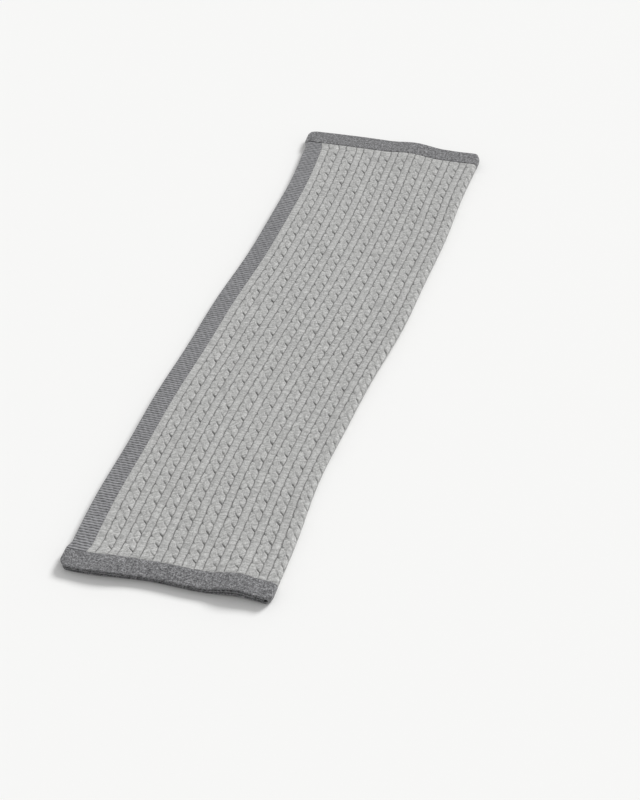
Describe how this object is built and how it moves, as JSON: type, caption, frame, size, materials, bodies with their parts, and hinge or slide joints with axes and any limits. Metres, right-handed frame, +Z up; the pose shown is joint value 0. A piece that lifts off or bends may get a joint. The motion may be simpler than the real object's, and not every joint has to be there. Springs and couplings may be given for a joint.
{
  "type": "chunky knit throw blanket",
  "caption": "Cable-knit throw blanket with contrasting bands on all edges, folded lengthwise in three and laid flat.",
  "frame": {"origin": "middle of the folded throw's footprint, on the surface that it lies on", "axes": "+X across the folded throw from the banded free edge to the rounded fold, +Y along it, +Z up"},
  "size_m": [0.5124, 1.7102, 0.0288],
  "materials": {
    "pale_melange_knit": "soft matt wool, pale grey melange cable knit",
    "dark_melange_knit": "soft matt wool, charcoal melange, ribbed at the sides and felted jersey at the hems"
  },
  "bodies": {
    "root": {"cable_field": "pale_melange_knit", "side_band_outer": "dark_melange_knit", "side_band_inner": "dark_melange_knit", "end_band_near": "dark_melange_knit", "end_band_far": "dark_melange_knit"}
  },
  "joints": []
}
